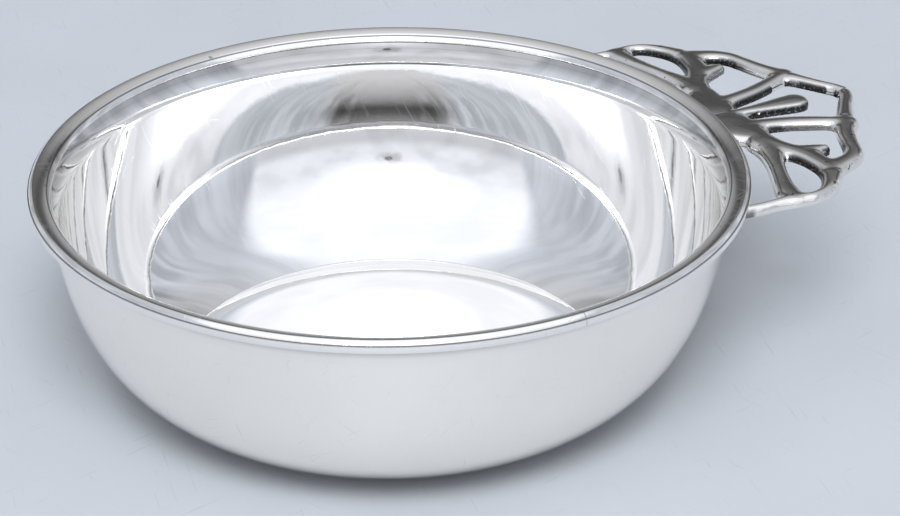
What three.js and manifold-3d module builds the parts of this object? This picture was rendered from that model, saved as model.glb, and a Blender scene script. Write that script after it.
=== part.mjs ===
// Silver porringer: a raised bowl, a moulded wire round its lip, and one flat cast handle pierced into strands.
// Millimetres, +Z up. The origin is the centre of the base, on the table, and the handle points along +X.
import * as THREE from "three";
import { mergeVertices } from "three/addons/utils/BufferGeometryUtils.js";
import Module from "manifold-3d";

// Bowl: a flat base, a round bouge up to a wall that leans out a little, and a lip that flares to the rim
const baseRadius = 28.5;
const bougeFoot = 16.0;
const bougeShoulder = 21.3;
const wallLean = 4.7;
const neckRadius = 56.35;
const neckHeight = 32.2;
const lipRise = 4.0;
const lipFlare = 1.65;
const lipPower = 1.5;
const wallThickness = 1.3;

// Rim moulding: an upright edge that overhangs the lip, a crown set back from it, and a roll down to the inside
const rimOverhang = 2.0;
const edgeThickness = 1.3;
const edgeRound = 0.3;
const crownSetBack = 0.95;
const crownRise = 0.7;
const crownRound = 0.2;
const crownTilt = 10;
const rollReach = 1.35;

// Handle: a flat casting with soft upper edges, tilted up a little, soldered to the wall under the rim
const castThickness = 1.8;
const castRound = 0.6;
const handleDrop = 0.3;
const handleTilt = 0.8;
const solderGap = 0.3;
const endAngle = 35.4;
const endDepth = 4.0;
const endSwell = 0.2;

// Fineness of the round forms
const turns = 96;
const bougeSteps = 13;
const lipSteps = 5;
const rollSteps = 6;
const strandStep = 1.6;

const rimRadius = neckRadius + lipFlare + rimOverhang;
const wallTop = neckHeight + lipRise;

// The strands of one half of the handle, as places [out from the rim, across, half width] along each centre line
const rootPlate = [[2.0, -0.5, 4.8], [2.2, 3.6, 4.7], [3.4, 6.9, 3.6], [4.5, 9.6, 2.5], [4.2, 13.6, 2.0]];
const rimStrand = [[4.2, 10.8, 2.2], [3.6, 16.0, 2.0], [2.1, 20.6, 1.6], [0.8, 24.2, 1.6], [-0.4, 27.8, 1.8], [-1.2, 31.4, 2.2]];
const leaf = [[3.6, 10.0, 2.4], [6.4, 15.4, 2.0], [8.6, 19.4, 2.2], [9.3, 23.0, 2.1], [9.6, 27.0, 1.9]];
const spur = [[8.0, 17.6, 1.7], [10.6, 18.2, 1.5], [13.2, 18.7, 0.8]];
const loop = [[9.8, 26.0, 1.9], [7.0, 30.2, 1.6], [4.4, 32.5, 1.3], [1.6, 33.3, 1.2], [-1.4, 32.6, 1.2], [-4.4, 32.9, 1.1]];
const corner = [[21.9, 10.4, 1.6], [19.4, 15.0, 1.5], [17.9, 19.2, 1.4], [16.6, 22.2, 1.5], [14.0, 24.4, 1.6], [9.6, 25.8, 1.8]];
const crest = [[28.0, -0.6, 1.1], [27.3, 1.7, 1.1], [25.0, 5.2, 1.1], [21.7, 10.4, 1.4]];
const arm = [[3.6, 5.2, 1.9], [7.4, 5.6, 1.8], [12.0, 6.7, 1.75], [16.0, 8.3, 1.7], [20.0, 10.2, 1.5], [22.9, 11.6, 1.1]];
const tongue = [[3.4, 0, 1.3], [7.0, 0, 1.3], [12.0, 0, 1.8], [16.2, 0, 2.4], [18.0, 0, 2.4], [18.8, 0, 1.7]];

const wasm = await Module();
wasm.setup();

// A closed three.js geometry as a solid that can be joined and cut
function toSolid(geometry) {
  const bare = geometry.clone();
  bare.deleteAttribute("normal");
  bare.deleteAttribute("uv");
  const welded = mergeVertices(bare, 1e-4);
  const index = welded.index.array;
  const triangles = [];
  for (let i = 0; i < index.length; i += 3) {
    const [a, b, c] = [index[i], index[i + 1], index[i + 2]];
    if (a !== b && b !== c && c !== a) triangles.push(a, b, c);
  }
  const mesh = new wasm.Mesh({
    numProp: 3,
    vertProperties: new Float32Array(welded.attributes.position.array),
    triVerts: new Uint32Array(triangles),
  });
  return new wasm.Manifold(mesh);
}

function toGeometry(solid) {
  const mesh = solid.getMesh();
  const geometry = new THREE.BufferGeometry();
  geometry.setAttribute("position", new THREE.BufferAttribute(new Float32Array(mesh.vertProperties), 3));
  geometry.setIndex(new THREE.BufferAttribute(new Uint32Array(mesh.triVerts), 1));
  geometry.computeVertexNormals();
  return geometry;
}

// Revolve a profile of [radius, height] points about the Z axis
function revolve(profile) {
  const points = profile.map(([radius, height]) => new THREE.Vector2(radius, height));
  return new THREE.LatheGeometry(points, turns).rotateX(Math.PI / 2);
}

// The lip's lean at its top, as a run over a rise
const neckSlope = Math.tan(THREE.MathUtils.degToRad(wallLean));
const lipCurl = (lipFlare - neckSlope * lipRise) / lipRise ** lipPower;
const lipSlope = neckSlope + lipPower * lipCurl * lipRise ** (lipPower - 1);

// The wall's section from the axis to the lip, moved outward by an offset
function wallSection(offset) {
  const lean = THREE.MathUtils.degToRad(wallLean);
  const bouge = new THREE.CubicBezierCurve(
    new THREE.Vector2(baseRadius, 0),
    new THREE.Vector2(baseRadius + bougeFoot, 0),
    new THREE.Vector2(neckRadius - bougeShoulder * Math.sin(lean), neckHeight - bougeShoulder * Math.cos(lean)),
    new THREE.Vector2(neckRadius, neckHeight),
  );
  const section = [[0, -offset]];
  for (let i = 0; i <= bougeSteps; i += 1) {
    const point = bouge.getPointAt(i / bougeSteps);
    const along = bouge.getTangentAt(i / bougeSteps);
    section.push([point.x + offset * along.y, point.y - offset * along.x]);
  }
  for (let i = 1; i <= lipSteps; i += 1) {
    const height = (lipRise * i) / lipSteps;
    const slope = neckSlope + lipPower * lipCurl * height ** (lipPower - 1);
    const radius = neckRadius + neckSlope * height + lipCurl * height ** lipPower;
    section.push([radius + offset * Math.hypot(1, slope), neckHeight + height]);
  }
  return section;
}

// Bowl: the outer and inner sections of one sheet, closed at the lip
const inside = wallSection(-wallThickness);
const bowlGeometry = revolve([...wallSection(0), ...inside.slice().reverse()]);

// Rim moulding: flat underneath where it sits on the lip, and flush with the lip inside
function rimSection() {
  const innerEdge = inside[inside.length - 1][0];
  const edgeTop = wallTop + edgeThickness;
  const crown = new THREE.Vector2(rimRadius - crownSetBack, edgeTop + crownRise);
  const tilt = THREE.MathUtils.degToRad(crownTilt);
  const lean = Math.atan(lipSlope);
  const roll = new THREE.CubicBezierCurve(
    crown,
    new THREE.Vector2(crown.x - rollReach * Math.cos(tilt), crown.y - rollReach * Math.sin(tilt)),
    new THREE.Vector2(innerEdge + rollReach * Math.sin(lean), wallTop + rollReach * Math.cos(lean)),
    new THREE.Vector2(innerEdge, wallTop),
  );
  const section = [[innerEdge, wallTop]];
  section.push([rimRadius - edgeRound, wallTop]);
  section.push([rimRadius, wallTop + edgeRound]);
  section.push([rimRadius, edgeTop]);
  section.push([crown.x + crownRound, crown.y - crownRound / 2]);
  for (const point of roll.getSpacedPoints(rollSteps)) section.push([point.x, point.y]);
  return section;
}
const rimGeometry = revolve(rimSection());

// One strand of the handle: a plan that follows a centre line at changing width, extruded with soft edges
function strand(places, side) {
  const line = new THREE.SplineCurve(places.map(([out, across]) => new THREE.Vector2(rimRadius + out, across * side)));
  const widths = new THREE.SplineCurve(places.map((place, i) => new THREE.Vector2(i, place[2])));
  const steps = Math.max(3, Math.round(line.getLength() / strandStep));
  const left = [];
  const right = [];
  for (let i = 0; i <= steps; i += 1) {
    const t = line.getUtoTmapping(i / steps);
    const point = line.getPoint(t);
    const tangent = line.getTangent(t);
    const half = widths.getPoint(t).y;
    left.push(new THREE.Vector2(point.x - tangent.y * half, point.y + tangent.x * half));
    right.unshift(new THREE.Vector2(point.x + tangent.y * half, point.y - tangent.x * half));
  }
  const plan = new THREE.Shape([...left, ...right]);
  const cast = new THREE.ExtrudeGeometry(plan, {
    depth: castThickness - castRound,
    bevelThickness: castRound,
    bevelSize: castRound,
    bevelOffset: -castRound,
    bevelSegments: 2,
  });
  return toSolid(cast);
}

// The end strand runs on from the loop and turns in to the wall under the rim
function endStrand() {
  const last = loop[loop.length - 1];
  const angle = THREE.MathUtils.degToRad(endAngle);
  const reach = rimRadius - endDepth;
  const foot = [reach * Math.cos(angle) - rimRadius, reach * Math.sin(angle), last[2] + 0.2];
  const middle = [(last[0] + foot[0]) / 2, (last[1] + foot[1]) / 2 + endSwell, last[2]];
  return [loop[loop.length - 2], last, middle, foot];
}

// Handle: the strands of both halves and the tongue, joined, cut flat underneath and fitted to the wall
function handleGeometry() {
  const half = [rootPlate, rimStrand, leaf, spur, loop, endStrand(), corner, crest, arm];
  let cast = strand(tongue, 1);
  for (const side of [1, -1]) {
    for (const places of half) cast = cast.add(strand(places, side));
  }
  const below = new THREE.BoxGeometry(4 * rimRadius, 4 * rimRadius, 2 * castThickness);
  below.translate(rimRadius, 0, -castThickness);
  const placed = toGeometry(cast.subtract(toSolid(below)));
  placed.translate(-rimRadius, 0, 0);
  placed.rotateY(-THREE.MathUtils.degToRad(handleTilt));
  placed.translate(rimRadius, 0, wallTop - handleDrop - castThickness);
  const keepOut = wallSection(solderGap);
  keepOut.push([0, wallTop]);
  return toGeometry(toSolid(placed).subtract(toSolid(revolve(keepOut))));
}

const silver = { color: 0xd3d4d6, roughness: 0.12, metalness: 1.0 };

function piece(name, geometry, finish) {
  const mesh = new THREE.Mesh(geometry, new THREE.MeshStandardMaterial(finish));
  mesh.name = name;
  return mesh;
}

const porringer = new THREE.Group();
porringer.add(piece("bowl", bowlGeometry, silver));
porringer.add(piece("rim_moulding", rimGeometry, silver));
porringer.add(piece("handle", handleGeometry(), { color: 0xb9bbbe, roughness: 0.2, metalness: 1.0 }));

export default porringer;
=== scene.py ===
# Silver porringer: a raised bowl, the moulded wire soldered round its lip, and one flat cast handle
# pierced into strands. Metres, +Z up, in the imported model's frame: the handle points along +X and the base
# is at z = 0. The pieces follow in the order that they go together, then the table, the camera, the lamp
# and the surround.
import math

import bmesh
import bpy
import numpy
from mathutils import Matrix, Quaternion, Vector, noise
from mathutils.bvhtree import BVHTree


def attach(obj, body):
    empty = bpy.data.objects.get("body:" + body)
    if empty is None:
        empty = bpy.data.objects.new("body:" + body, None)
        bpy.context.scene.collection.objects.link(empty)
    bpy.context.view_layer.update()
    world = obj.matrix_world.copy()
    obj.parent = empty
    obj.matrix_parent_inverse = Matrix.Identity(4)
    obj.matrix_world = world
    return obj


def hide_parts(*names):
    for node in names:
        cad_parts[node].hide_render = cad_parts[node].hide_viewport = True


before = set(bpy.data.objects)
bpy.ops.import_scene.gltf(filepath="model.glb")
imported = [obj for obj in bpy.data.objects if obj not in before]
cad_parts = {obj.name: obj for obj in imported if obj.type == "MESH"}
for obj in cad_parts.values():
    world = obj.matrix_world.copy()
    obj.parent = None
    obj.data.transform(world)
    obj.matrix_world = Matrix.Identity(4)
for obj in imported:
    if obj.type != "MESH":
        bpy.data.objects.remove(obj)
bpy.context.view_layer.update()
scene = bpy.context.scene

# Bowl: one round sheet of silver, raised to a flat base, a round bouge, a wall that leans out a little and
# a lip that flares. It is polished inside and out, and the wire and the handle are soldered to it.
base_radius = 0.0285
bouge_foot = 0.0160
bouge_shoulder = 0.0213
wall_lean = math.radians(4.7)
neck_radius = 0.05635
neck_height = 0.0322
lip_rise = 0.0040
lip_flare = 0.00165
lip_power = 1.5
wall_thickness = 0.0013
base_rings = 8
bouge_steps = 72
lip_steps = 24
turn_steps = 256
wall_top = neck_height + lip_rise
neck_slope = math.tan(wall_lean)
lip_curl = (lip_flare - neck_slope * lip_rise) / lip_rise ** lip_power


def lip_radius(height):
    return neck_radius + neck_slope * height + lip_curl * height ** lip_power


def lip_slope(height):
    return neck_slope + lip_power * lip_curl * height ** (lip_power - 1)


def curve_points(start, pull_out, pull_in, end, steps):
    points = []
    for step in range(steps + 1):
        t = step / steps
        rest = 1 - t
        point = start * rest ** 3 + pull_out * 3 * t * rest ** 2 + pull_in * 3 * t ** 2 * rest + end * t ** 3
        ahead = (pull_out - start) * rest ** 2 + (pull_in - pull_out) * 2 * t * rest
        ahead += (end - pull_in) * t ** 2
        points.append((point, ahead.normalized()))
    return points


# The wall's section from the axis to the lip, moved outward by an offset
def wall_section(offset):
    section = [(base_radius * ring / base_rings, -offset) for ring in range(base_rings)]
    foot = Vector((base_radius, 0))
    foot_pull = Vector((base_radius + bouge_foot, 0))
    neck = Vector((neck_radius, neck_height))
    shoulder = neck - Vector((math.sin(wall_lean), math.cos(wall_lean))) * bouge_shoulder
    for point, ahead in curve_points(foot, foot_pull, shoulder, neck, bouge_steps):
        section.append((point.x + offset * ahead.y, point.y - offset * ahead.x))
    for step in range(1, lip_steps + 1):
        height = lip_rise * step / lip_steps
        thickness = offset * math.hypot(1, lip_slope(height))
        section.append((lip_radius(height) + thickness, neck_height + height))
    return section


# Inside, the flat of the base runs out to a soft crease, and the bouge rises from it to the wall's line
base_inside = 0.0016
crease_radius = 0.0362
crease_round = 0.0002
crease_rise = math.radians(27)
crease_steps = 40
bouge_meet = 0.0460


def inner_section():
    upper = [place for place in wall_section(-wall_thickness) if place[0] > bouge_meet]
    meet = Vector(upper[0])
    lead = (Vector(upper[1]) - meet).normalized()
    start = Vector((crease_radius, base_inside))
    rise = Vector((math.cos(crease_rise), math.sin(crease_rise)))
    pull = (meet - start).length / 3
    section = [(crease_radius * ring / base_rings, base_inside) for ring in range(base_rings)]
    section.append((crease_radius - crease_round, base_inside))
    for point, ahead in curve_points(start, start + rise * pull, meet - lead * pull, meet, crease_steps):
        section.append((point.x, point.y))
    return section + upper[1:]


# A hand-raised surface is never quite even: it has shallow swells a hundredth of a millimetre or so high,
# from the foot of the bouge up. It lies a little inside its true line, so that no swell stands past it.
broad_swells = 45
broad_swell_height = 0.000014
fine_swells = 120
fine_swell_height = 0.000003
swell_room = 0.00002
swell_start = 0.004
sharp_bend = math.radians(40)
underside = -0.5


def spin_section(name, section):
    shape = bmesh.new()
    rail = [shape.verts.new((radius, 0, height)) for radius, height in section]
    edges = [shape.edges.new(pair) for pair in zip(rail, rail[1:])]
    bmesh.ops.spin(shape, geom=rail + edges, cent=(0, 0, 0), axis=(0, 0, 1), dvec=(0, 0, 0),
                   angle=math.tau, steps=turn_steps, use_merge=True)
    bmesh.ops.remove_doubles(shape, verts=shape.verts, dist=1e-6)
    bmesh.ops.recalc_face_normals(shape, faces=shape.faces)
    for face in shape.faces:
        face.smooth = True
    for edge in shape.edges:
        edge.smooth = edge.calc_face_angle(0) < sharp_bend
    for vertex in shape.verts:
        swell = noise.noise(vertex.co * broad_swells) * broad_swell_height
        swell += noise.noise(vertex.co * fine_swells) * fine_swell_height
        vertex.co += vertex.normal * (swell - swell_room) * min(vertex.co.z / swell_start, 1)
    outside = shape.verts.layers.float.new("outside")
    for vertex in shape.verts:
        from_axis = Vector((vertex.co.x, vertex.co.y, 0))
        vertex[outside] = float(from_axis.dot(vertex.normal) > 0 or vertex.normal.z < underside)
    mesh = bpy.data.meshes.new(name)
    shape.to_mesh(mesh)
    shape.free()
    piece = bpy.data.objects.new(name, mesh)
    scene.collection.objects.link(piece)
    return piece


bowl = spin_section("bowl_sheet", wall_section(0) + inner_section()[::-1])

bowl_silver = bpy.data.materials.new("bowl_silver")
bowl_silver.use_nodes = True
nodes = bowl_silver.node_tree.nodes
links = bowl_silver.node_tree.links


def math_node(operation, first, second=0):
    node = nodes.new("ShaderNodeMath")
    node.operation = operation
    for socket, value in zip(node.inputs, (first, second)):
        if isinstance(value, (int, float)):
            socket.default_value = value
        else:
            links.new(value, socket)
    return node.outputs[0]


def fade(value, low, high, start, end):
    node = nodes.new("ShaderNodeMapRange")
    node.interpolation_type = "SMOOTHSTEP"
    links.new(value, node.inputs["Value"])
    node.inputs["From Min"].default_value = low
    node.inputs["From Max"].default_value = high
    node.inputs["To Min"].default_value = start
    node.inputs["To Max"].default_value = end
    return node.outputs["Result"]


def split_axes(vector):
    node = nodes.new("ShaderNodeSeparateXYZ")
    links.new(vector, node.inputs["Vector"])
    return node.outputs["X"], node.outputs["Y"], node.outputs["Z"]


def grain(place, scale, detail):
    node = nodes.new("ShaderNodeTexNoise")
    links.new(place, node.inputs["Vector"])
    node.inputs["Scale"].default_value = scale
    node.inputs["Detail"].default_value = detail
    return node.outputs["Fac"]


# Hairline scratches: noise drawn out long one way and very fine the other, in three directions
hair_turns = ((0.4, 1.1, 0.3), (1.3, 0.2, 1.9), (0.7, 2.2, 2.7))
hair_length = 1 / 70
hair_sway = 1 / 90
hair_edge = 0.06
hair_fineness = 5200


def hairlines(place, fineness, rarity):
    total = 0.0
    for turn in hair_turns:
        drawn = nodes.new("ShaderNodeMapping")
        drawn.vector_type = "TEXTURE"
        links.new(place, drawn.inputs["Vector"])
        drawn.inputs["Rotation"].default_value = turn
        drawn.inputs["Scale"].default_value = (hair_length, hair_sway, 1 / fineness)
        hair = grain(drawn.outputs["Vector"], 1, 1)
        total = math_node("MAXIMUM", fade(hair, rarity, rarity + hair_edge, 0, 1), total)
    return total


def bump(height, depth, below=None):
    node = nodes.new("ShaderNodeBump")
    links.new(height, node.inputs["Height"])
    node.inputs["Strength"].default_value = 1
    node.inputs["Distance"].default_value = depth
    if below:
        links.new(below, node.inputs["Normal"])
    return node.outputs["Normal"]


def tint(factor, first, second):
    node = nodes.new("ShaderNodeMix")
    node.data_type = "RGBA"
    links.new(factor, node.inputs["Factor"])
    for socket, value in ((node.inputs["A"], first), (node.inputs["B"], second)):
        if isinstance(value, tuple):
            socket.default_value = value
        else:
            links.new(value, socket)
    return node.outputs["Result"]


def attribute(name):
    node = nodes.new("ShaderNodeAttribute")
    node.attribute_name = name
    return node.outputs["Fac"]


# The silver is bright inside and has a faint warm film outside, and both are duller in cloudy smudges.
# Towards the lip the wall is painted darker, as painted shade under the wire, and a dark line runs where
# the solder of the wire was cleaned off.
polish_bright = (0.949, 0.943, 0.931, 1)
polish_dull = (0.931, 0.925, 0.913, 1)
film_bright = (0.978, 0.94, 0.893, 1)
film_dull = (0.96, 0.922, 0.874, 1)
solder_and_shade_grey = (0.22, 0.21, 0.2, 1)
solder_line = wall_top - 0.0009
lip_shade_from = wall_top - 0.0030
lip_shade_to = wall_top - 0.0006
scratch_wear = 0.12
shader = nodes["Principled BSDF"]
place = nodes.new("ShaderNodeTexCoord").outputs["Object"]
up = split_axes(place)[2]
scratch = hairlines(place, hair_fineness, 0.72)
smudge = grain(place, 38, 3)
smudged = fade(smudge, 0.35, 0.7, 0, 1)
from_solder = math_node("ABSOLUTE", math_node("SUBTRACT", up, solder_line))
solder_dark = fade(from_solder, 0.00003, 0.00012, 0.6, 0)
# Painted shade: the wall is painted darker towards the lip under the wire; the thin solder line is a dark
# joint
solder_line_and_lip_shade = math_node("MAXIMUM", solder_dark, fade(up, lip_shade_from, lip_shade_to, 0, 0.5))
polish = tint(smudged, polish_bright, polish_dull)
film = tint(smudged, film_bright, film_dull)
clean = tint(attribute("outside"), polish, film)
links.new(tint(solder_line_and_lip_shade, clean, solder_and_shade_grey), shader.inputs["Base Color"])
shader.inputs["Metallic"].default_value = 1
wear = math_node("MULTIPLY", scratch, scratch_wear)
links.new(math_node("ADD", fade(smudge, 0.3, 0.75, 0.018, 0.048), wear), shader.inputs["Roughness"])
planished = bump(grain(place, 330, 2), 0.000006)
links.new(bump(scratch, 0.0000012, planished), shader.inputs["Normal"])
bowl.data.materials.append(bowl_silver)
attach(bowl, "root")
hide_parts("bowl")

# Rim moulding: one drawn silver wire, bent into a ring, closed with a butt seam and soldered on the lip.
# It has an upright edge that overhangs the wall, a crown set back from it over a fine groove, and a roll
# down to the inside.
rim_radius = 0.0600
edge_thickness = 0.0013
edge_round = 0.0003
edge_steps = 8
crown_set_back = 0.00095
crown_rise = 0.0007
crown_round = 0.0002
crown_tilt = math.radians(3)
shoulder_out = 0.00036
shoulder_down = 0.00026
roll_reach_out = 0.0015
roll_reach_in = 0.0010
roll_steps = 32
step_in = 0.00045
step_rise = 0.0005
seam_angle = math.radians(-83)
rim_inner = wall_section(-wall_thickness)[-1][0]
edge_top = wall_top + edge_thickness
crown = Vector((rim_radius - crown_set_back, edge_top + crown_rise))

rim_section = [(rim_inner, wall_top), (rim_radius - edge_round, wall_top)]
for step in range(1, edge_steps + 1):
    angle = math.pi / 2 * step / edge_steps
    rim_section.append((rim_radius - edge_round + edge_round * math.sin(angle),
                        wall_top + edge_round - edge_round * math.cos(angle)))

# The groove's line, as places in from the edge and down from its top, then the crown's outer side
groove = ((0, 0.00022), (0.00004, 0.00014), (0.00018, 0.0001), (0.00022, 0))
for inward, down in groove:
    rim_section.append((rim_radius - inward, edge_top - down))
crown_side = ((crown_round + shoulder_out, crown_round / 2 + shoulder_down),
              (crown_round, crown_round / 2), (crown_round / 2, crown_round / 6))
for outward, down in crown_side:
    rim_section.append((crown.x + outward, crown.y - down))
lip_lean = math.atan(lip_slope(lip_rise))
roll_out = crown - Vector((math.cos(crown_tilt), math.sin(crown_tilt))) * roll_reach_out
roll_end = Vector((rim_inner - step_in, wall_top + step_rise))
roll_in = roll_end + Vector((math.sin(lip_lean), math.cos(lip_lean))) * roll_reach_in
for point, ahead in curve_points(crown, roll_out, roll_in, roll_end, roll_steps):
    rim_section.append((point.x, point.y))

# Under the roll, the inner edge tucks back to the lip
tuck = ((0.00002, 0.0001), (-0.00005, 0.0002))
for inward, down in tuck:
    rim_section.append((roll_end.x - inward, roll_end.y - down))
rim_section.append((rim_inner, wall_top))
rim = spin_section("rim_wire", rim_section)

# Grime stays in the butt seam where the wire's ends meet and in nicks, and the groove under the crown is
# painted dark as painted shade
wire_bright = (0.943, 0.93, 0.905, 1)
grime_and_shade_dark = (0.13, 0.125, 0.12, 1)
groove_height = edge_top - 0.00004
rim_silver = bpy.data.materials.new("rim_silver")
rim_silver.use_nodes = True
nodes = rim_silver.node_tree.nodes
links = rim_silver.node_tree.links
shader = nodes["Principled BSDF"]
place = nodes.new("ShaderNodeTexCoord").outputs["Object"]
along_x, along_y, up = split_axes(place)
turn_about = math_node("ARCTAN2", along_y, along_x)
from_seam = math_node("ABSOLUTE", math_node("SUBTRACT", turn_about, seam_angle))
from_groove = math_node("ABSOLUTE", math_node("SUBTRACT", up, groove_height))
seam_grime = fade(from_seam, 0.0006, 0.002, 0.45, 0)
# Painted shade: a dark line painted along the groove under the crown
groove_shade = fade(from_groove, 0.00005, 0.00013, 0.8, 0)
nicks = fade(grain(place, 420, 2), 0.70, 0.76, 0, 0.55)
grime_and_groove_shade = math_node("MAXIMUM", math_node("MAXIMUM", seam_grime, groove_shade), nicks)
scratch = hairlines(place, hair_fineness, 0.68)
smudge = grain(place, 60, 3)
links.new(tint(grime_and_groove_shade, wire_bright, grime_and_shade_dark), shader.inputs["Base Color"])
shader.inputs["Metallic"].default_value = 1
wear = math_node("ADD", math_node("MULTIPLY", scratch, scratch_wear), math_node("MULTIPLY", grime_and_groove_shade, 0.2))
links.new(math_node("ADD", fade(smudge, 0.3, 0.75, 0.05, 0.10), wear), shader.inputs["Roughness"])
drawn_wire = bump(grain(place, 260, 2), 0.000012)
links.new(bump(scratch, 0.000004, drawn_wire), shader.inputs["Normal"])
rim.data.materials.append(rim_silver)
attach(rim, "root")
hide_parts("rim_moulding")

# Handle: one flat silver casting of seventeen strands, each rounded on top, soldered to the wall under the
# rim. A strand is a row of places along its centre line, in millimetres: out from the rim, across from the
# middle, and half its width.
cast_thickness = 1.8
handle_drop = 0.0003
handle_tilt = math.radians(0.8)
root_plate = [(2.0, -0.5, 4.8), (2.2, 3.6, 4.7), (3.4, 6.9, 3.6), (4.5, 9.6, 2.5), (4.2, 13.6, 2.0)]
rim_strand = [(4.2, 10.8, 2.2), (3.6, 16.0, 2.0), (2.1, 20.6, 1.6), (0.8, 24.2, 1.6), (-0.4, 27.8, 1.8),
              (-1.2, 31.0, 2.0), (-1.5, 33.6, 1.6)]
leaf = [(3.6, 10.0, 2.4), (6.4, 15.4, 2.0), (8.6, 19.4, 2.2), (9.3, 23.0, 2.1), (9.6, 27.0, 1.9)]
spur = [(8.0, 17.6, 1.7), (10.6, 18.2, 1.5), (13.2, 18.7, 0.8)]
loop = [(9.8, 26.0, 1.9), (7.0, 30.2, 1.6), (4.4, 32.5, 1.3), (1.6, 33.3, 1.2), (-1.4, 32.6, 1.2),
        (-4.4, 32.9, 1.1), (-9.4, 33.0, 1.2), (-14.4, 32.4, 1.3)]
corner = [(21.7, 10.2, 1.85), (19.2, 14.8, 1.75), (17.65, 18.9, 1.65), (16.35, 21.9, 1.75), (13.8, 24.1, 1.9),
          (9.5, 25.5, 2.1)]
crest = [(27.6, -0.6, 1.35), (26.95, 1.7, 1.4), (24.8, 5.0, 1.4), (21.6, 10.2, 1.65)]
arm = [(3.6, 5.2, 1.9), (7.4, 5.6, 1.8), (12.0, 6.7, 1.75), (16.0, 8.3, 1.7), (20.0, 10.2, 1.5),
       (22.9, 11.6, 1.1)]
tongue = [(3.4, 0, 1.3), (7.0, 0, 1.3), (12.0, 0, 1.8), (16.2, 0, 2.4), (18.0, 0, 2.4), (18.8, 0, 1.7)]
roundings = ((tongue, 0.8), (root_plate, 0.8), (rim_strand, 1.1), (leaf, 1.1), (spur, 0.8), (loop, 1.2),
             (corner, 1.3), (crest, 1.2), (arm, 1.15))
strand_steps = 14
end_trim = 0.8
fillet = 0.65
joint_round = 1.2
edge_dip = 0.16
edge_dip_reach = 1.1
grid_step = 0.17
foot_radius = (neck_radius + lip_flare * 0.45) * 1000


# A place on a strand's centre line, on a smooth curve through the row
def along(places, t):
    first = min(int(t), len(places) - 2)
    part = t - first
    near = [Vector(places[min(max(first + shift, 0), len(places) - 1)]) for shift in (-1, 0, 1, 2)]
    pull_in = (near[2] - near[0]) / 2
    pull_out = (near[3] - near[1]) / 2
    rise = near[2] - near[1]
    cubic = pull_in + pull_out - 2 * rise
    square = 3 * rise - 2 * pull_in - pull_out
    return near[1] + pull_in * part + square * part ** 2 + cubic * part ** 3


# How deep each grid place lies inside the strands, and how high their rounded tops stand there
columns = numpy.arange(-160, 178) * grid_step
rows = numpy.arange(-215, 216) * grid_step
out, across = numpy.meshgrid(columns, rows, indexing="ij")
joined = numpy.full(out.shape, -60.0)
deepest = numpy.full(out.shape, -99.0)
wall_height = numpy.zeros(out.shape)
top_height = numpy.zeros(out.shape)
for places, rounding in roundings:
    ends = [Vector(places[0]), Vector(places[-1])]
    depth = numpy.full(out.shape, -99.0)
    for step in range(strand_steps * (len(places) - 1) + 1):
        middle = along(places, step / strand_steps)
        if min((middle.xy - end.xy).length - end_trim * end.z for end in ends) > 0:
            depth = numpy.maximum(depth, middle.z - numpy.hypot(out - middle.x, across - middle.y))
    depth = numpy.maximum(depth, depth[:, ::-1])
    inner = rounding - numpy.clip(depth, 0, rounding)
    height = cast_thickness - rounding + numpy.sqrt(rounding ** 2 - inner ** 2)
    top_height = numpy.where(depth > 0, numpy.maximum(top_height, height), top_height)
    wall_height = numpy.where(depth > deepest, cast_thickness - rounding, wall_height)
    deepest = numpy.maximum(deepest, depth)
    joined = numpy.logaddexp(joined, depth / fillet)
inside = joined * fillet
inner = joint_round - numpy.clip(inside, 0, joint_round)
joint_height = cast_thickness - joint_round + numpy.sqrt(joint_round ** 2 - inner ** 2)
top_height = numpy.maximum(top_height, joint_height)
top_height -= edge_dip * numpy.exp(-numpy.clip(inside, 0, None) / edge_dip_reach)
from_wall = numpy.hypot(rim_radius * 1000 + out, across) - foot_radius
inside = numpy.minimum(inside, from_wall)

# The top follows the field cell by cell, and side walls drop from its outline to the flat underside
sway_scale = 0.13
sway_height = 0.04
sway_room = 0.03
cast = bmesh.new()
corners = {}
crossings = {}
filled = set()


def spot(x, y, z):
    sway = noise.noise((x * sway_scale, y * sway_scale, 3)) * sway_height
    top = cast.verts.new((x, y, z + sway - sway_room))
    bottom = cast.verts.new((x, y, 0))
    return top, bottom


def corner_spot(i, j):
    if (i, j) not in corners:
        corners[i, j] = spot(columns[i], rows[j], top_height[i, j])
    return corners[i, j]


def edge_spot(a, b):
    key = (min(a, b), max(a, b))
    if key not in crossings:
        share = inside[a] / (inside[a] - inside[b])
        x = columns[a[0]] + (columns[b[0]] - columns[a[0]]) * share
        y = rows[a[1]] + (rows[b[1]] - rows[a[1]]) * share
        crossings[key] = spot(x, y, wall_height[a])
    return crossings[key]


def fill_cell(i, j):
    square = ((i, j), (i + 1, j), (i + 1, j + 1), (i, j + 1))
    ring = []
    cut = []
    for a, b in zip(square, square[1:] + square[:1]):
        if inside[a] > 0:
            ring.append(corner_spot(*a))
        if (inside[a] > 0) != (inside[b] > 0):
            ring.append(edge_spot(a, b))
            cut.append(ring[-1])
    if len(ring) > 2:
        cast.faces.new([pair[0] for pair in ring])
        cast.faces.new([pair[1] for pair in reversed(ring)])
        if len(cut) == 2:
            cast.faces.new((cut[0][0], cut[1][0], cut[1][1], cut[0][1]))


for i in range(len(columns) - 1):
    for j in numpy.nonzero((inside[i:i + 2] > 0).any(axis=0))[0]:
        for cell in ((i, int(j) - 1), (i, int(j))):
            if cell not in filled:
                filled.add(cell)
                fill_cell(*cell)
bmesh.ops.recalc_face_normals(cast, faces=cast.faces)

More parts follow.
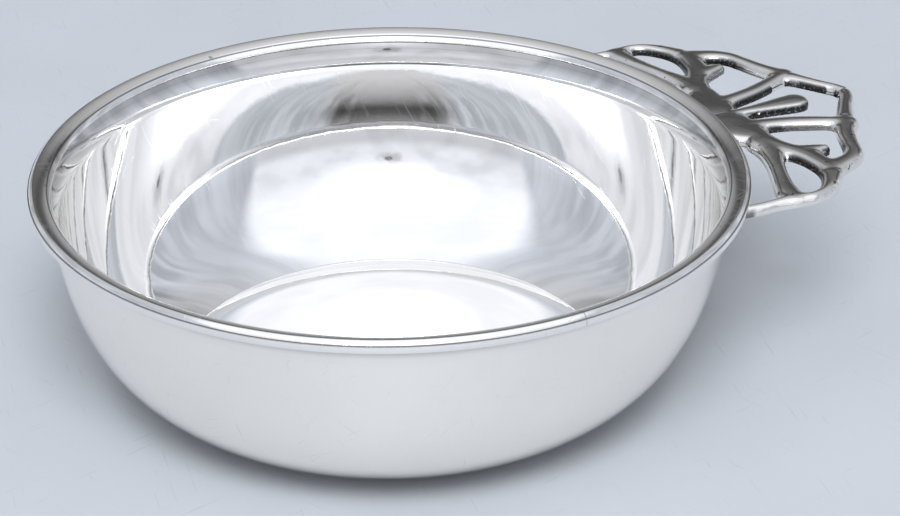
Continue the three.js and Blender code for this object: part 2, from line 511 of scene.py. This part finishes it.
# The side walls get rows of their own, so that smoothing rounds their edges. The casting is then seated.
side_rows = 3
side_least = 0.5
smoothings = 2
seat_gap = 0.00003
sides = [edge for edge in cast.edges if abs(edge.verts[0].co.z - edge.verts[1].co.z) > side_least
         and (edge.verts[0].co.xy - edge.verts[1].co.xy).length < 1e-6]
bmesh.ops.subdivide_edges(cast, edges=sides, cuts=side_rows, use_grid_fill=True)
for smoothing in range(smoothings):
    bmesh.ops.smooth_vert(cast, verts=cast.verts, factor=0.5,
                          use_axis_x=True, use_axis_y=True, use_axis_z=True)
bmesh.ops.transform(cast, matrix=Matrix.Scale(0.001, 4), verts=cast.verts)
seat = Matrix.Translation((rim_radius, 0, wall_top - handle_drop - cast_thickness / 1000))
seat @= Matrix.Rotation(-handle_tilt, 4, "Y")
bmesh.ops.transform(cast, matrix=seat, verts=cast.verts)
for vertex in cast.verts:
    wall_radius = lip_radius(min(max(vertex.co.z - neck_height, 0), lip_rise)) + seat_gap
    radius = math.hypot(vertex.co.x, vertex.co.y)
    if radius < wall_radius:
        vertex.co.x *= wall_radius / radius
        vertex.co.y *= wall_radius / radius
for face in cast.faces:
    face.smooth = True


def limited(value, most):
    return min(max(value, 0), most)


# Painted shade in hollow bends and along the joint with the bowl's wall, and black oxide on the sides of
# piercings, painted darker the narrower the piercing is in front of them, which is partly painted shade
hollow_bend = 0.45
hollow_span = 0.5
hollow_most = 0.7
upright_least = 0.6
upright_span = 0.25
joint_clear = 0.0032
joint_span = 0.0008
joint_most = 0.8
skin = 0.0004
sight = 0.014
wide_gap = 0.0112
gap_span = 0.004
cast.normal_update()
tree = BVHTree.FromBMesh(cast)
painted_crease_shade = cast.verts.layers.float.new("painted_crease_shade")
narrow = cast.verts.layers.float.new("narrow")
for vertex in cast.verts:
    bend = min(edge.calc_face_angle_signed(0) for edge in vertex.link_edges)
    # Painted shade: hollow bends are painted darker the sharper they fold in
    vertex[painted_crease_shade] = limited((-bend - hollow_bend) / hollow_span, hollow_most)
    level = Vector((vertex.normal.x, vertex.normal.y, 0))
    upright = level.length - upright_least
    if upright > 0:
        level.normalize()
        clear = math.hypot(vertex.co.x, vertex.co.y) - neck_radius - lip_flare
        # Painted shade: the strands are painted dark where they meet the bowl's wall
        joint = limited((joint_clear - clear) / joint_span, joint_most) * upright / (1 - upright_least)
        vertex[painted_crease_shade] = max(vertex[painted_crease_shade], joint)
        hit = tree.ray_cast(vertex.co + level * skin, level, sight)
        if hit[0] is not None:
            gap = hit[3] + skin
            vertex[narrow] = limited((wide_gap - gap) / gap_span, 1) * min(upright / upright_span, 1)
handle_mesh = bpy.data.meshes.new("cast_handle")
cast.to_mesh(handle_mesh)
cast.free()
handle = bpy.data.objects.new("cast_handle", handle_mesh)
scene.collection.objects.link(handle)

# Black oxide stays in the narrow piercings, broken by bright specks, and in casting pits; the hollow bends
# and the joint with the wall are painted dark as painted shade
cast_bright = (0.905, 0.885, 0.85, 1)
cast_dull = (0.82, 0.802, 0.77, 1)
oxide_and_shade_black = (0.045, 0.043, 0.042, 1)
handle_silver = bpy.data.materials.new("handle_silver")
handle_silver.use_nodes = True
nodes = handle_silver.node_tree.nodes
links = handle_silver.node_tree.links
shader = nodes["Principled BSDF"]
place = nodes.new("ShaderNodeTexCoord").outputs["Object"]
specks = fade(grain(place, 2600, 3), 0.52, 0.72, 1, 0.7)
# Black oxide on the piercings' sides, painted darker the narrower the piercing, so partly painted shade
oxide_pits_and_shade = math_node("MULTIPLY", attribute("narrow"), specks)
pitted_parts = fade(grain(place, 130, 1), 0.5, 0.62, 0, 1)
pits = math_node("MULTIPLY", fade(grain(place, 900, 1), 0.66, 0.74, 0, 0.8), pitted_parts)
# The crease mask added here is painted shade
oxide_pits_and_shade = math_node("MAXIMUM", oxide_pits_and_shade, math_node("MAXIMUM", pits, attribute("painted_crease_shade")))
scratch = hairlines(place, hair_fineness, 0.77)
smudge = grain(place, 120, 3)
worn = tint(fade(smudge, 0.35, 0.7, 0, 1), cast_bright, cast_dull)
links.new(tint(oxide_pits_and_shade, worn, oxide_and_shade_black), shader.inputs["Base Color"])
shader.inputs["Metallic"].default_value = 1
wear = math_node("ADD", math_node("MULTIPLY", scratch, scratch_wear), math_node("MULTIPLY", oxide_pits_and_shade, 0.25))
links.new(math_node("ADD", fade(smudge, 0.3, 0.75, 0.04, 0.08), wear), shader.inputs["Roughness"])
rippled = bump(grain(place, 240, 2), 0.000012)
links.new(bump(math_node("SUBTRACT", scratch, pits), 0.000004, rippled), shader.inputs["Normal"])
handle.data.materials.append(handle_silver)
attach(handle, "root")
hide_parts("handle")

# Table: a pale blue-grey painted board with a soft gloss, a little cloudy and finely scuffed. The
# porringer stands loose on it.
table_reach = 4
paint_low = (0.403, 0.422, 0.444, 1)
paint_high = (0.418, 0.438, 0.462, 1)
scuff_grey = (0.28, 0.30, 0.33, 1)
scuff_fineness = 3000
table_mesh = bpy.data.meshes.new("table")
table_shape = bmesh.new()
bmesh.ops.create_grid(table_shape, x_segments=1, y_segments=1, size=table_reach)
table_shape.to_mesh(table_mesh)
table_shape.free()
table = bpy.data.objects.new("table", table_mesh)
scene.collection.objects.link(table)
table_paint = bpy.data.materials.new("table_paint")
table_paint.use_nodes = True
nodes = table_paint.node_tree.nodes
links = table_paint.node_tree.links
shader = nodes["Principled BSDF"]
place = nodes.new("ShaderNodeTexCoord").outputs["Object"]
scuffs = hairlines(place, scuff_fineness, 0.725)
cloudy = grain(place, 22, 4)
pale = tint(fade(cloudy, 0.3, 0.7, 0, 1), paint_low, paint_high)
links.new(tint(math_node("MULTIPLY", scuffs, 0.45), pale, scuff_grey), shader.inputs["Base Color"])
links.new(fade(cloudy, 0.3, 0.7, 0.52, 0.58), shader.inputs["Roughness"])
shader.inputs["Specular IOR Level"].default_value = 0.4
links.new(bump(grain(place, 900, 2), 0.000015), shader.inputs["Normal"])
table.data.materials.append(table_paint)

# Camera: a long lens about half a metre away, which looks down over the rim with the handle to the back
# right. Its shift only frames the bowl.
view_turn = math.radians(22.4)
view_height = math.radians(25.864)
view_distance = 0.480
view_roll = math.radians(-0.831)
aim = Vector((0, 0, 0.03784))


# The direction from the bowl to a place in front of it that stands so many degrees up
def front_side(raised):
    reach = math.cos(raised)
    return Vector((-math.sin(view_turn) * reach, -math.cos(view_turn) * reach, math.sin(raised)))


camera = bpy.data.objects.new("camera", bpy.data.cameras.new("camera"))
scene.collection.objects.link(camera)
scene.camera = camera
camera.location = aim + view_distance * front_side(view_height)
camera.rotation_mode = "QUATERNION"
level_view = (aim - camera.location).to_track_quat("-Z", "Y")
camera.rotation_quaternion = level_view @ Quaternion((0, 0, 1), view_roll)
camera.data.sensor_width = 36
camera.data.lens = 115.29
camera.data.shift_x = 0.06793
camera.data.shift_y = -0.09976
camera.data.clip_start = 0.01

# Lamp: a round soft lamp above the camera, a metre from the bowl, which lights the front of the board most.
# The silver doesn't mirror it, since the tent has a glow of its own in that place.
lamp_height = math.radians(52)
soft_lamp = bpy.data.objects.new("soft_lamp", bpy.data.lights.new("soft_lamp", "AREA"))
soft_lamp.data.shape = "DISK"
soft_lamp.data.size = 0.4
soft_lamp.data.energy = 4.6
soft_lamp.location = front_side(lamp_height)
soft_lamp.rotation_mode = "QUATERNION"
soft_lamp.rotation_quaternion = front_side(lamp_height).to_track_quat("Z", "Y")
soft_lamp.visible_camera = False
soft_lamp.visible_glossy = False
scene.collection.objects.link(soft_lamp)

# Surround: a white studio tent of hung cloth, grey and folded at the sides and the back, open and bright
# overhead and pale behind the camera. It is what the polished silver mirrors.
world = bpy.data.worlds.new("tent")
scene.world = world
world.use_nodes = True
nodes = world.node_tree.nodes
links = world.node_tree.links
backdrop = nodes["Background"]


def ramp(value, stops):
    node = nodes.new("ShaderNodeValToRGB")
    links.new(value, node.inputs["Fac"])
    points = node.color_ramp.elements
    points.remove(points[1])
    for number, (position, shade) in enumerate(stops):
        point = points[0] if number == 0 else points.new(position)
        point.position = position
        point.color = (shade, shade, shade, 1)
    return node.outputs["Color"]


def blend(factor, first, second):
    node = nodes.new("ShaderNodeMix")
    node.data_type = "FLOAT"
    links.new(factor, node.inputs["Factor"])
    links.new(first, node.inputs["A"])
    links.new(second, node.inputs["B"])
    return node.outputs["Result"]


def turned_about(vector, axis, angle):
    node = nodes.new("ShaderNodeVectorRotate")
    node.rotation_type = axis
    node.inputs["Angle"].default_value = angle
    links.new(vector, node.inputs["Vector"])
    return node.outputs["Vector"]


def flat_length(first, second):
    squares = math_node("ADD", math_node("MULTIPLY", first, first), math_node("MULTIPLY", second, second))
    return math_node("SQRT", squares)


# The cloth's shade from the table up, at the back, at the sides and behind the camera
far_shades = ((0.0, 0.36), (0.20, 0.32), (0.29, 0.22), (0.34, 0.12), (0.41, 0.08), (0.455, 0.15),
              (0.52, 0.29), (0.59, 0.40), (0.66, 0.48), (0.79, 0.60), (0.90, 0.70))
side_shades = ((0.0, 0.68), (0.22, 0.66), (0.33, 0.59), (0.80, 0.60), (0.90, 0.70))
near_shades = ((0.0, 0.68), (0.12, 0.68), (0.24, 0.64), (0.29, 0.70), (0.34, 0.84), (0.42, 0.88),
               (0.54, 0.96), (0.60, 1.0))
tent = turned_about(nodes.new("ShaderNodeTexCoord").outputs["Generated"], "Z_AXIS", view_turn)
side, away, height = split_axes(tent)
facing_away = math_node("DIVIDE", away, flat_length(side, away))
back = fade(facing_away, 0.56, 0.88, 0, 1)
front = fade(facing_away, -0.75, -0.52, 1, 0)
cloth = blend(back, ramp(height, side_shades), ramp(height, far_shades))

# Folds run out from the gather above the back of the tent, and are deepest at the back but for its middle
gather_tilt = math.radians(20)
fold_stretch = 0.35
gather_x, gather_y = split_axes(turned_about(tent, "X_AXIS", gather_tilt))[:2]
from_gather = flat_length(gather_x, gather_y)
fold_place = nodes.new("ShaderNodeCombineXYZ")
links.new(math_node("DIVIDE", gather_x, from_gather), fold_place.inputs["X"])
links.new(math_node("DIVIDE", gather_y, from_gather), fold_place.inputs["Y"])
links.new(math_node("MULTIPLY", from_gather, fold_stretch), fold_place.inputs["Z"])
folds = nodes.new("ShaderNodeTexNoise")
links.new(fold_place.outputs["Vector"], folds.inputs["Vector"])
folds.inputs["Scale"].default_value = 8.5
folds.inputs["Detail"].default_value = 2.5
folds.inputs["Roughness"].default_value = 0.5
folds.inputs["Distortion"].default_value = 0.3
fold_depth = math_node("MULTIPLY", fade(facing_away, 0.3, 0.8, 0.17, 0.34),
                       fade(facing_away, 0.90, 0.97, 1, 0.12))
fold_depth = math_node("MULTIPLY", fold_depth, fade(height, 0.45, 0.75, 1, 0.3))
fold_swing = math_node("MULTIPLY", fade(folds.outputs["Fac"], 0.3, 0.7, -1, 1), fold_depth)
folded = math_node("MULTIPLY", cloth, math_node("ADD", fold_swing, 1))
walls = blend(front, folded, ramp(height, near_shades))

# The opening overhead widens towards the camera. Its light is a little uneven, as through thin cloth.
opening_half = 0.70
opening_taper = 0.93
opening_edge = 0.14
least_height = 0.05
safe_height = math_node("MAXIMUM", height, least_height)
roof_side = math_node("DIVIDE", math_node("ABSOLUTE", side), safe_height)
roof_away = math_node("DIVIDE", away, safe_height)
half_here = math_node("SUBTRACT", opening_half, math_node("MULTIPLY", roof_away, opening_taper))
opening_side = fade(math_node("SUBTRACT", half_here, roof_side), -opening_edge, opening_edge, 0, 1)
opening_ends = math_node("MULTIPLY", fade(roof_away, 0.17, 0.31, 1, 0), fade(height, 0.24, 0.36, 0, 1))
opening = math_node("MULTIPLY", opening_side, opening_ends)
drape = fade(grain(tent, 4.5, 2), 0.35, 0.65, 1, 0.93)
opening_light = math_node("MULTIPLY", fade(height, 0.4, 0.75, 0.94, 1.14), drape)
lit = math_node("ADD", math_node("MULTIPLY", walls, math_node("SUBTRACT", 1, opening)),
                math_node("MULTIPLY", opening, opening_light))


# How nearly a direction points to a place in front of the bowl that stands so many degrees up
def towards(raised):
    return math_node("SUBTRACT", math_node("MULTIPLY", height, math.sin(raised)),
                     math_node("MULTIPLY", away, math.cos(raised)))


# Behind the camera the cloth has faint wisps, the lens is a small dark spot in a grey smear, and a round
# lamp glows through from above it
lens_edge = math.cos(math.radians(1.5))
lens_middle = math.cos(math.radians(1.1))
smear_edge = math.cos(math.radians(6))
lamp_glow = 14
lamp_falloff = 50
wisps = math_node("MULTIPLY", fade(grain(tent, 5, 1.5), 0.45, 0.65, 0, 0.11), fade(height, 0.5, 0.62, 1, 0))
unwisped = math_node("SUBTRACT", 1, math_node("MULTIPLY", wisps, front))
to_camera = towards(view_height)
smear = math_node("MULTIPLY", fade(to_camera, smear_edge, lens_edge, 0, 0.3),
                  fade(grain(tent, 16, 1), 0.4, 0.6, 0.3, 1))
glass = fade(to_camera, lens_edge, lens_middle, 1, 0.35)
lens = math_node("MULTIPLY", glass, math_node("SUBTRACT", 1, smear))
glow = math_node("POWER", math_node("MAXIMUM", towards(lamp_height), 0), lamp_falloff)
lamp = math_node("ADD", math_node("MULTIPLY", glow, lamp_glow), 1)
light = math_node("MULTIPLY", math_node("MULTIPLY", lit, lamp), math_node("MULTIPLY", unwisped, lens))

# The cloth is a little blue, most at the sides
side_blue = (0.915, 0.975, 1.09, 1)
far_blue = (0.98, 0.99, 1.035, 1)
open_blue = (0.955, 0.985, 1.06, 1)
dyed = tint(math_node("MAXIMUM", opening, front), tint(back, side_blue, far_blue), open_blue)
links.new(dyed, backdrop.inputs["Color"])
links.new(light, backdrop.inputs["Strength"])
scene.view_settings.view_transform = "Standard"

# A polished bowl mirrors itself many times over before the light leaves it
scene.cycles.max_bounces = 32
scene.cycles.glossy_bounces = 32
